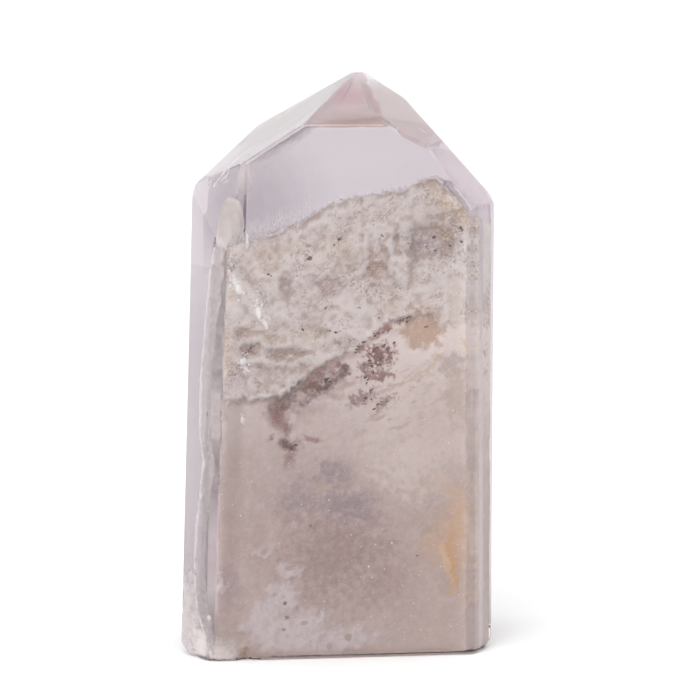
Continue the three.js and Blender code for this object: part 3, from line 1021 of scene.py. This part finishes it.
def makeDarkGrains(crystal):
    rng = random.Random(41)
    places = []
    for x, z, size in grainSpec["dark"]:
        for lump in range(4):
            own = size * rng.uniform(0.35, 0.65)
            point = onFront(crystal, x + rng.gauss(0, 0.45) * size, z + rng.gauss(0, 0.35) * size, 0.02)
            places.append((point, (own, own * 0.4, own * 0.7), (0, rng.uniform(-50, 30), 0)))
    for x, z, wide, high, count in grainSpec["clusters"]:
        for grain in range(count):
            spotX = x + rng.gauss(0, 0.5) * wide
            spotZ = z + rng.gauss(0, 0.5) * high + 0.4 * (spotX - x)
            size = 0.06 + 0.14 * rng.random() ** 2
            shape = (size * rng.uniform(1, 2), 0.07, size * rng.uniform(0.5, 1))
            places.append((onFront(crystal, spotX, spotZ, 0), shape, (0, rng.uniform(-50, 0), 0)))
    finish = ("darkMineral", shade(118, 92, 88), shade(76, 54, 54), 0.6)
    makeLumps("dark_grains", places, finish, clouds=(0.25, 0.2))


def makeSparkles(crystal):
    rng = random.Random(17)
    places = []
    for x, z, size in grainSpec["brightDots"]:
        places.append((onFront(crystal, x, z, 0.15), (size, size, size), (0, 0, 0)))
    for grain in range(grainSpec["sparkles"]):
        x = rng.uniform(-15.5, 17)
        z = 2 + 50 * rng.random() ** 1.4
        size = 0.04 + 0.06 * rng.random() ** 3
        tilt = (rng.uniform(0, 90), rng.uniform(0, 90), 0)
        places.append((onFront(crystal, x, z, rng.uniform(0.05, 0.4)), (size, size, size), tilt))
    # a line of bubbles high in the clear window
    for step in range(9):
        x = -5.8 + 2.3 * step / 8 + rng.uniform(-0.1, 0.1)
        z = 65.2 - 2.5 * step / 8
        size = rng.uniform(0.04, 0.08)
        places.append(((x, -11.6, z), (size, size, size), (0, 0, 0)))
    # near-white grains, sparkles and bubbles: the white of the grains and sparkles is partly a painted glint
    finish = ("brightMineralGlint", shade(246, 240, 236), shade(232, 222, 218), 0.4)
    makeLumps("bright_grains", places, finish, subdivisions=1)


def makePearls(crystal):
    rng = random.Random(5)
    places = []
    for x, z, wide, high in grainSpec["pearls"]:
        lean = rng.uniform(-25, 5)
        places.append((onFront(crystal, x, z, 0.02), (wide, 0.2, high), (0, lean, 0)))
        for flake in range(16):
            spotX = x + rng.gauss(0, 1) * wide
            spotZ = z + rng.gauss(0, 1.1) * high
            size = 0.05 + 0.16 * rng.random() ** 2
            tilt = (rng.uniform(-40, 40), lean + rng.uniform(-40, 40), rng.uniform(-40, 40))
            places.append((onFront(crystal, spotX, spotZ, 0.02), (size, 0.08, size * 1.5), tilt))
    # near-white flakes: real flakes, their white partly a painted glint
    finish = ("pearlyFlakeGlint", shade(255, 253, 252), shade(246, 241, 240), 0.35)
    pick(makeLumps("pearly_flakes", places, finish, clouds=(0.3, 0.25)))
    bpy.ops.object.shade_smooth()


def makeGoldenGrains(crystal):
    rng = random.Random(61)
    places = []
    for x, z, wide, high, count in grainSpec["golden"]:
        for grain in range(count):
            spot = onFront(crystal, x + rng.gauss(0, 0.5) * wide, z + rng.gauss(0, 0.5) * high, 0.02)
            size = rng.uniform(0.04, 0.12)
            tilt = (rng.uniform(0, 90), rng.uniform(0, 90), 0)
            places.append((spot, (size, 0.06, size * rng.uniform(0.5, 1)), tilt))
    finish = ("goldenMineral", shade(250, 236, 214), shade(214, 184, 138), 0.45)
    makeLumps("golden_grains", places, finish, subdivisions=1, clouds=(0.2, 0.06))


# White fibres that stand on the crest, most crowded at its left end.
fibreSpec = {"count": 420, "left": -13.2, "across": 27, "crowded": 2.1}


def makeFibres():
    rng = random.Random(23)
    places = []
    for fibre in range(fibreSpec["count"]):
        x = fibreSpec["left"] + fibreSpec["across"] * rng.random() ** fibreSpec["crowded"]
        y = rng.uniform(-11.7, -10.4)
        tall = rng.uniform(0.3, 0.8) if x > -3 else rng.uniform(0.5, 2.6)
        thin = rng.uniform(0.02, 0.055)
        lean = (rng.gauss(0, 14), rng.gauss(8, 18), 0)
        foot = crestHeight(x, y) - 0.35
        places.append(((x, y, foot + tall / 2), (thin, thin, tall / 2), lean))
    deselectAll()
    bpy.ops.mesh.primitive_cone_add(vertices=5, radius1=1 * mm, radius2=0.15 * mm, depth=2 * mm)
    finish = ("whiteFibre", shade(254, 250, 252), shade(248, 240, 244), 0.5, 0.8)
    makeLumps("crest_fibres", places, finish, pattern=bpy.context.object)


# A rounded lobe of clouded quartz that stands up at the left end of the crest.
lobeSpec = {"at": [-12.9, 55.1], "back": -10.9, "size": [1.45, 3.6], "thick": 0.5, "turn": 6}


def makeLobe():
    deselectAll()
    bpy.ops.mesh.primitive_uv_sphere_add(segments=48, ring_count=32, radius=1 * mm)
    place = (lobeSpec["at"][0], lobeSpec["back"], lobeSpec["at"][1])
    shape = (lobeSpec["size"][0], lobeSpec["thick"], lobeSpec["size"][1])
    lobe = joinCopies(bpy.context.object, [(place, shape, (0, lobeSpec["turn"], 0))], "crest_lobe")
    displaceByClouds(lobe, "lobeClouds", 1.2, 0.3)
    pick(lobe)
    bpy.ops.object.shade_smooth()
    ellipse = (*lobeSpec["at"], *lobeSpec["size"])
    reaches = [ellipseReach(ellipse, v.co.x / mm, v.co.z / mm) for v in lobe.data.vertices]
    setMask(lobe, "rim", [smooth(0.84, 0.97, reach) for reach in reaches])
    material, tree = newMaterial("lobeQuartz")
    patches = mottleMask(tree, inMillimetres(tree), 0.8, 0.4, 0.65)
    tone = mixNode(tree, patches, underQuartz(216, 209, 206), underQuartz(207, 198, 195))
    rim = maskNamed(tree, "rim")
    tone = mixNode(tree, rim, tone, underQuartz(230, 223, 224))
    solid = rangeNode(tree, rim, 0, 1, 0.86, 0.95, "LINEAR")
    finishMaterial(tree, {"Base Color": tone, "Roughness": 0.6, "Alpha": solid})
    finishPiece(lobe, material)


# Thin white healed cracks under the left shoulder and beside the right cap facet: middle, length
# and width.
crackSpec = [
    [-12.1, -7.6, 62.5, 0.9, 0.14], [-12.8, -9.8, 61.8, 0.8, 0.12], [-13.8, -9.5, 61.1, 1.1, 0.16],
    [-13, -10.6, 60.6, 0.6, 0.12], [-15.1, -8.4, 60.1, 0.6, 0.1], [-11.2, -11.6, 62.6, 0.25, 0.2],
    [10.8, -5.6, 67.2, 1, 0.08], [11, -8.6, 66, 1, 0.08],
]


def makeCracks():
    rng = random.Random(3)
    places = []
    for x, y, z, length, wide in crackSpec:
        for streak in range(3):
            shift = [rng.gauss(0, 0.3) for axis in range(3)]
            point = (x + shift[0], y + shift[1], z + shift[2])
            rise = rng.uniform(-62, -42) if x < 0 else rng.uniform(50, 62)
            shape = (length * rng.uniform(0.4, 1), 0.05, wide * rng.uniform(0.4, 1))
            places.append((point, shape, (0, rise, 0)))
    finish = ("healedCrack", shade(255, 250, 252), shade(246, 238, 242), 0.5, 0.9)
    makeLumps("healed_cracks", places, finish)


# White flakes crowded under the worn foot, from small inner cracks.
bruiseSpec = {"at": (-18, -8.6, 2.6), "size": (1.6, 1.9, 2.8), "flakes": 320, "thin": 0.04}


def makeBruise(planes):
    rng = random.Random(29)
    places = []
    while len(places) < bruiseSpec["flakes"]:
        point = [rng.gauss(at, size) for at, size in zip(bruiseSpec["at"], bruiseSpec["size"])]
        if max(face.dot(Vector(point)) - reach / mm for face, reach in planes) > -0.5:
            continue
        wide = rng.uniform(0.15, 0.6)
        turn = (rng.uniform(-30, 30), rng.uniform(-60, 60), rng.uniform(-90, -20))
        places.append((point, (wide, bruiseSpec["thin"], wide * rng.uniform(0.4, 1)), turn))
    finish = ("foggedCrack", shade(253, 243, 245), shade(244, 230, 233), 0.5, 0.65)
    makeLumps("foot_bruise", places, finish, clouds=(0.4, 0.2))


# The ragged white seam left of the clouded crystal, with its cloudy margin, from top to foot.
seamSpec = {
    "line": [
        [-15, -11.2, 52.6], [-15.6, -10.5, 49.9], [-16, -10, 45.8], [-16.6, -9.4, 40.6], [-17.1, -9, 35.5],
        [-17.4, -9, 29.1], [-17, -10, 25.4], [-17.6, -9.4, 20.2], [-18, -8.9, 17.5], [-18.4, -8.6, 12.4],
        [-18.4, -9, 8.6], [-18.2, -9.5, 6.1], [-17.4, -11.2, 3.1], [-17, -11.9, 0.8],
    ],
    "drawn": [1.4, -2.43, 0],
    "white": 0.12,
}


# How far into the seam a point lies, as a share of the seam's width.
def seamShare(point):
    line = [(-z, x) for x, y, z in seamSpec["line"]]
    startX = lerpLine(line, -point.z / mm)
    return (point.x / mm - startX) / seamSpec["drawn"][0]


def makeSeam(planes):
    line = [Vector(point) * mm for point in seamSpec["line"]]
    seam = drawChain("left_seam", line[0], [end - start for start, end in zip(line, line[1:])])
    bpy.ops.mesh.extrude_edges_move(TRANSFORM_OT_translate={"value": Vector(seamSpec["drawn"]) * mm})
    bpy.ops.mesh.select_all(action="SELECT")
    bpy.ops.mesh.subdivide(number_cuts=15)
    bpy.ops.object.mode_set(mode="OBJECT")
    for axis in ("X", "Y"):
        displaceByClouds(seam, "seamClouds", 1.2, 0.7, direction=axis)
    trimInside(seam, planes, 0.3)
    shares = [seamShare(vertex.co) for vertex in seam.data.vertices]
    setMask(seam, "rim", [1 - smooth(seamSpec["white"], 2 * seamSpec["white"], share) for share in shares])
    material, tree = newMaterial("seamQuartz")
    point = inMillimetres(tree)
    parts = addNode(tree, "ShaderNodeSeparateXYZ", {"Vector": point})
    height = rangeNode(tree, parts.outputs["Z"], 14, 44)
    tone = mixNode(tree, height, underQuartz(198, 187, 194), underQuartz(214, 205, 210))
    tone = mixNode(tree, mottleMask(tree, point, 0.9, 0.5, 0.62, 0.4), tone, underQuartz(220, 212, 215))
    rim = maskNamed(tree, "rim")
    tone = mixNode(tree, rim, tone, underQuartz(250, 244, 246))
    solid = rangeNode(tree, rim, 0, 1, 0.6, 0.9, "LINEAR")
    finishMaterial(tree, {"Base Color": tone, "Roughness": 0.7, "Alpha": solid})
    finishPiece(seam, material)


# Faint coloured veils inside the clear quartz. A veil is a soft-edged sheet, given by its middle,
# its half sizes, the way it faces and its coloured clouds.
def cloud(colour, at, size, strength, soft=0.9):
    return {"colour": shade(*colour), "at": at, "size": size, "strength": strength, "soft": soft, "turn": 0}


veilSpec = {
    "smoke_veil": {
        "at": [-4, -4, 58.5], "size": [9.8, 10], "facing": [0, 0],
        "clouds": [cloud((112, 96, 112), (-10, -4, 57.5), (10.5, 6, 10), 0.34, 1)],
    },
    "front_cap_veil": {
        "at": [3.4, -6.5, 70.5], "size": [9, 7], "facing": [2.5, 63],
        "clouds": [
            cloud((184, 158, 158), (3, -8, 69.8), (10, 11, 9), 0.5, 0.4),
            cloud((196, 112, 140), (3, -6.4, 70.6), (5, 5.6, 3.6), 0.26, 1),
            cloud((150, 112, 82), (2.2, -11.6, 67.4), (7.6, 4, 2.4), 0.4, 1),
        ],
    },
    "right_cap_veil": {
        "at": [10, -6, 68], "size": [6, 8], "facing": [51, 56.5],
        "clouds": [cloud((192, 172, 172), (9.5, -7, 67.6), (8, 10, 9), 0.8, 0.4)],
    },
    "right_shoulder_veil": {
        "at": [15.05, -9.4, 62.5], "size": [9, 10], "facing": [57, 33.7],
        "clouds": [cloud((224, 211, 219), (15.4, -8.8, 61.2), (7.5, 11, 8.4), 0.8, 0.75)],
    },
    "left_cap_veil": {
        "at": [-6.4, -3, 66.4], "size": [8, 11], "facing": [-66, 55],
        "clouds": [
            cloud((138, 121, 122), (-5, -1.5, 68), (11, 9, 9), 0.9, 0.6),
            cloud((206, 190, 198), (-14, -3, 61.6), (5, 7, 5), 0.6, 0.8),
        ],
    },
    "left_window_veil": {
        "at": [-11.4, -12.2, 61], "size": [2.4, 5], "facing": [0, 0],
        "clouds": [cloud((216, 204, 206), (-11.4, -12.2, 61.4), (1.7, 3, 3.8), 0.7, 1)],
    },
    "left_bevel_veil": {
        "at": [-18, -7.5, 24], "size": [4, 26], "facing": [-60, 2.3],
        "clouds": [cloud((156, 140, 148), (-18, -7.5, 22), (9, 9, 32), 0.36, 0.5)],
    },
    "foot_veil": {
        "at": [-19, -8, 5], "size": [4.6, 8], "facing": [-60, 2.3], "ragged": 1.3,
        "clouds": [
            cloud((232, 222, 222), (-19.4, -7.4, 4), (3.8, 6, 9), 0.85, 0.8),
            cloud((250, 242, 240), (-17.6, -10.8, 1.8), (2.6, 3, 2.8), 0.8, 0.8),
        ],
    },
    "foot_front_veil": {
        "at": [-14.6, -12.4, 2], "size": [3.6, 2.2], "facing": [0, 0], "ragged": 1.3,
        "clouds": [cloud((244, 234, 230), (-15.8, -12.4, 1), (3.2, 3, 2.2), 0.7, 0.9)],
    },
}


def makeVeil(name, spec, planes):
    normal = faceNormal(*spec["facing"])
    deselectAll()
    bpy.ops.mesh.primitive_grid_add(x_subdivisions=28, y_subdivisions=28, size=2 * mm)
    veil = bpy.context.object
    veil.name = name
    look = normal.to_track_quat("Z", "Y").to_matrix().to_4x4()
    place = Matrix.Translation(Vector(spec["at"]) * mm)
    veil.matrix_world = place @ look @ Matrix.Diagonal((*spec["size"], 1, 1))
    bpy.ops.object.transform_apply(location=True, rotation=True, scale=True)
    displaceByClouds(veil, name + "Clouds", 5, 0.4)
    trimInside(veil, planes, 0.35)
    material, tree = newMaterial(name + "Finish")
    point = inMillimetres(tree)
    bent = wanderingPoint(tree, point, 0.4, 1.2)
    grain = grainSignal(tree, point, 0.9, 5, spec.get("ragged", 0.3))
    tone = (0.5, 0.5, 0.5, 1)
    solid = 0
    for spot in spec["clouds"]:
        mask = patchMask(tree, bent, grain, spot)
        whole = mathNode(tree, "ADD", mathNode(tree, "ADD", mask, solid), 0.001)
        tone = mixNode(tree, mathNode(tree, "DIVIDE", mask, whole), tone, spot["colour"])
        solid = mathNode(tree, "ADD", solid, mask)
    finishMaterial(tree, {"Base Color": tone, "Roughness": 0.9, "Alpha": solid})
    finishPiece(veil, material)


# Camera, floor and light

viewSpec = {
    "aim": [2.25, 0, 37.78],
    "distance": 520,
    "azimuth": -3,
    "elevation": 7,
    "roll": 1,
    "lens": 207.15,
}


def makeCamera():
    turn = math.radians(viewSpec["azimuth"])
    rise = math.radians(viewSpec["elevation"])
    back = Vector((math.sin(turn) * math.cos(rise), -math.cos(turn) * math.cos(rise), math.sin(rise)))
    place = (Vector(viewSpec["aim"]) + back * viewSpec["distance"]) * mm
    bpy.ops.object.camera_add()
    camera = bpy.context.object
    look = back.to_track_quat("Z", "Y").to_matrix().to_4x4()
    roll = Matrix.Rotation(math.radians(-viewSpec["roll"]), 4, "Z")
    camera.matrix_world = Matrix.Translation(place) @ look @ roll
    camera.data.lens = viewSpec["lens"]
    camera.data.sensor_width = 36
    camera.data.clip_start = 0.01
    bpy.context.scene.camera = camera


studioSpec = {
    "floorShade": 0.69,
    "skyStrength": 1.5,
    # one big soft lamp: where it stands and how wide it is, in metres, and how strong
    "lampAt": (-0.4, -0.9, 0.75),
    "lampWidth": 1.1,
    "lampPower": 12,
}


def makeStudio():
    deselectAll()
    bpy.ops.mesh.primitive_plane_add(size=12, location=(0, 0, -0.05 * mm))
    floor = bpy.context.object
    floor.name = "studio_floor"
    material, tree = newMaterial("studioFloor")
    pale = studioSpec["floorShade"]
    finishMaterial(tree, {"Base Color": (pale, pale, pale, 1), "Roughness": 0.9, "Specular IOR Level": 0.1})
    floor.data.materials.append(material)
    world = bpy.data.worlds.new("studioLight")
    bpy.context.scene.world = world
    world.use_nodes = True
    sky = world.node_tree.nodes["Background"]
    sky.inputs["Color"].default_value = (1, 1, 1, 1)
    sky.inputs["Strength"].default_value = studioSpec["skyStrength"]
    place = Vector(studioSpec["lampAt"])
    bpy.ops.object.light_add(type="AREA", location=place)
    lamp = bpy.context.object
    lamp.rotation_euler = (place - Vector((0, 0, 0.03))).to_track_quat("Z", "Y").to_euler()
    lamp.data.size = studioSpec["lampWidth"]
    lamp.data.energy = studioSpec["lampPower"]
    bpy.context.scene.view_settings.view_transform = "Standard"


makeCamera()
makeStudio()
print("studio ready")
crystal = makeCloudedCrystal()
print("clouded crystal made, faces", len(crystal.data.polygons))
bpy.context.view_layer.update()
makeDarkGrains(crystal)
makeSparkles(crystal)
makePearls(crystal)
makeGoldenGrains(crystal)
print("grains and flakes made")
makeFibres()
makeLobe()
makeCracks()
print("fibres, lobe and cracks made")
planes = polishedPlanes() + [(Vector((0, 0, -1)), 0)]
makeBruise(planes)
makeSeam(planes)
for veilName, veil in veilSpec.items():
    makeVeil(veilName, veil, planes)
print("veils made")
makePolishedPoint(planes[:-1])
print("clear quartz made")
